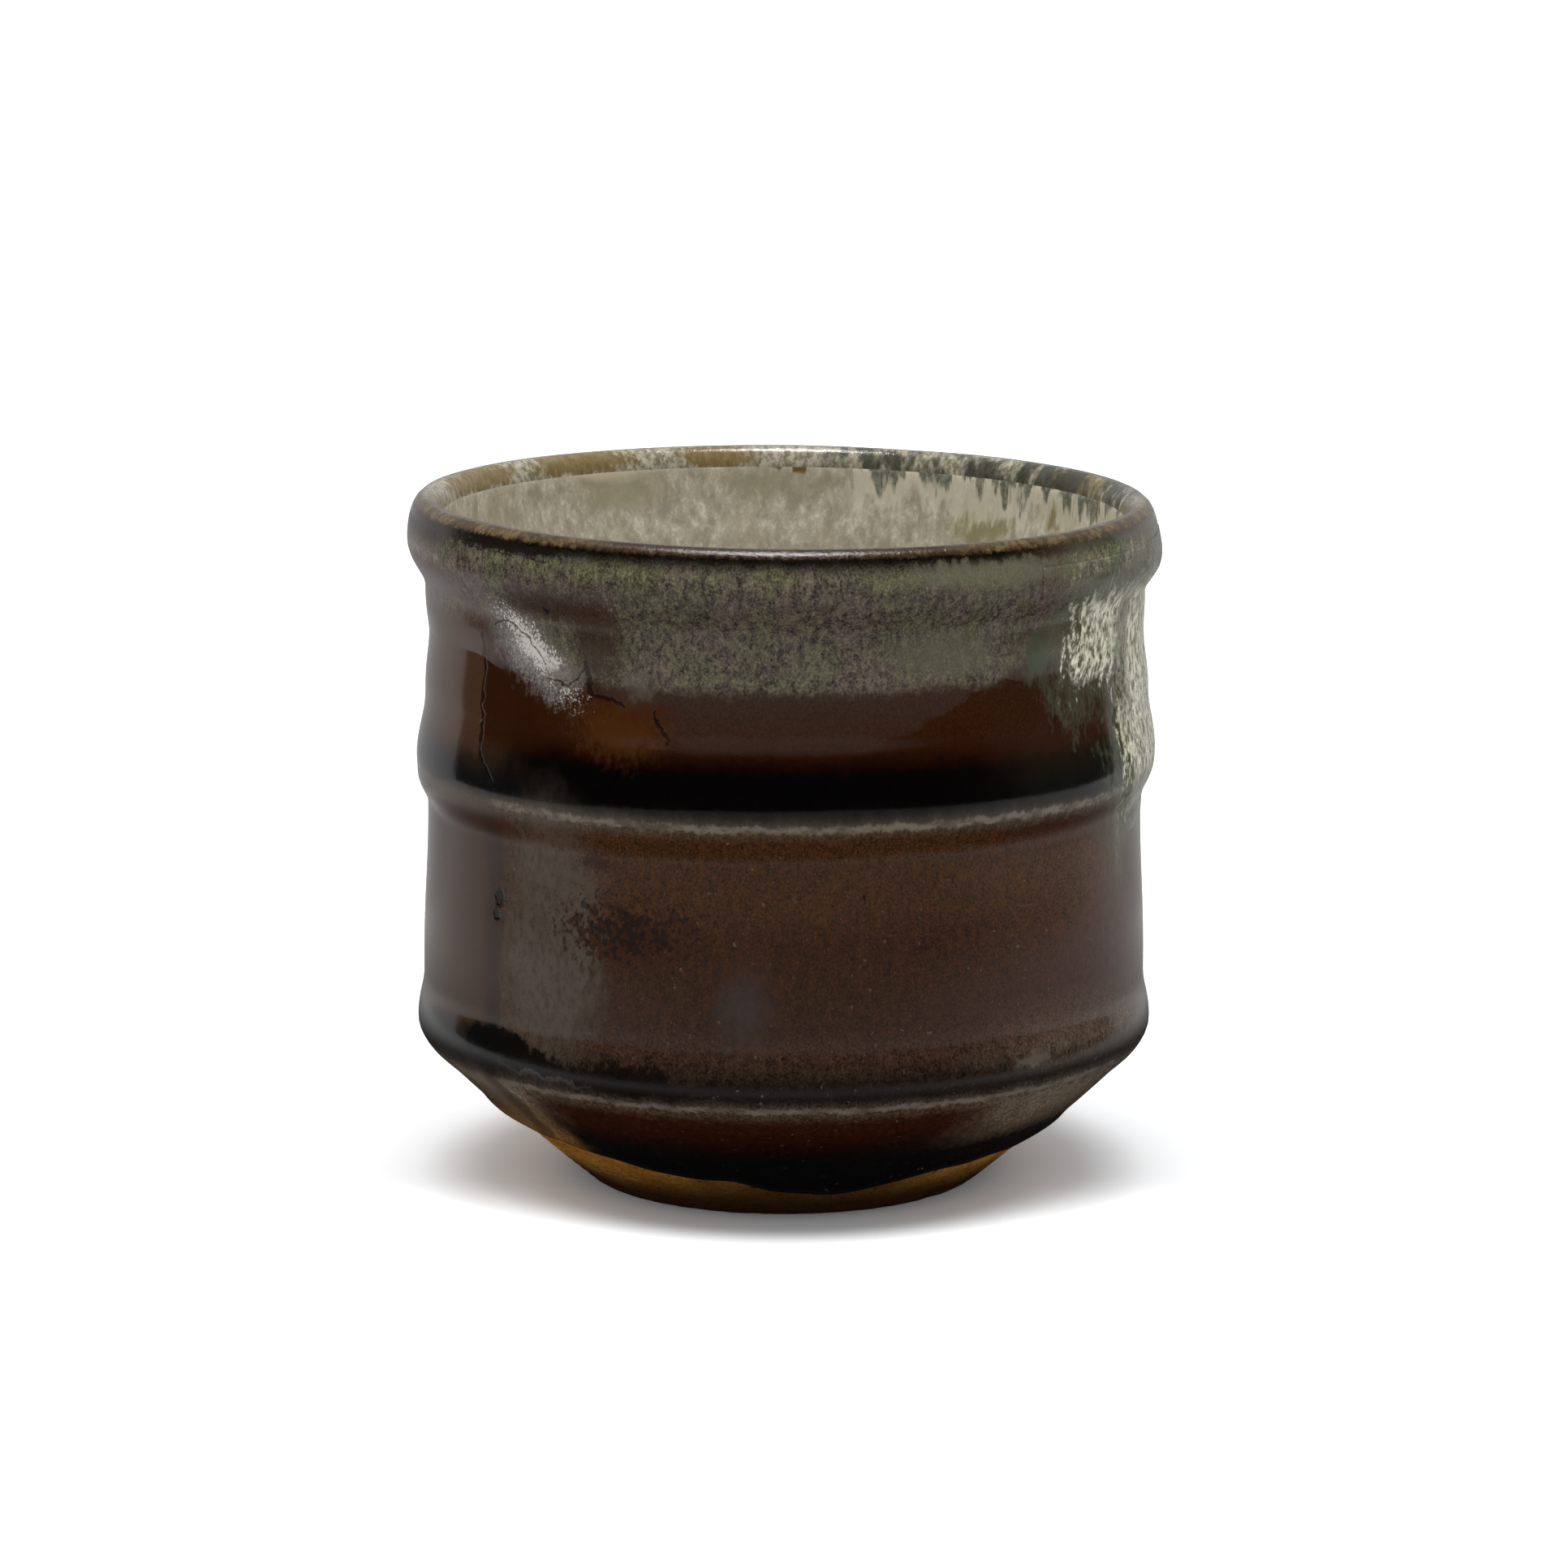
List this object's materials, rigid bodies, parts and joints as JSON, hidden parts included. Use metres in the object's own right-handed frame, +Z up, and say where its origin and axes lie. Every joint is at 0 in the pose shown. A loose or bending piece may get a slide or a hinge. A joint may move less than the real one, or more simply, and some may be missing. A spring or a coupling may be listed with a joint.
{
  "type": "sake cup",
  "caption": "Small handleless stoneware sake cup with a rolled lip, a raised ring and a conical base on a bare clay foot, glazed in iron brown outside and ash white inside.",
  "frame": {"origin": "centre of the foot, on the surface that the cup stands on", "axes": "+Z up along the axis that the cup was thrown about, -Y towards the side whose glaze line hangs lowest, +X towards the cream pour"},
  "size_m": [0.062, 0.062, 0.0564],
  "materials": {
    "bare_stoneware": "matt unglazed ochre-brown stoneware with a fine grit",
    "iron_glaze": "glossy dark brown iron glaze, amber where it runs thin and near black where it pools",
    "ash_glaze": "glossy curdled grey-cream ash glaze",
    "thin_ash_over_iron_glaze": "glossy mottled grey-green ash glaze, thin enough for the brown to show through",
    "cream_ash_glaze": "glossy cream ash glaze with fine dark vertical flecks"
  },
  "bodies": {
    "root": {"clay_body": "bare_stoneware", "iron_glaze_coat": "iron_glaze", "ash_glaze_lining": "ash_glaze", "ash_glaze_rim_dip": "thin_ash_over_iron_glaze", "ash_glaze_pour": "cream_ash_glaze"}
  },
  "joints": []
}
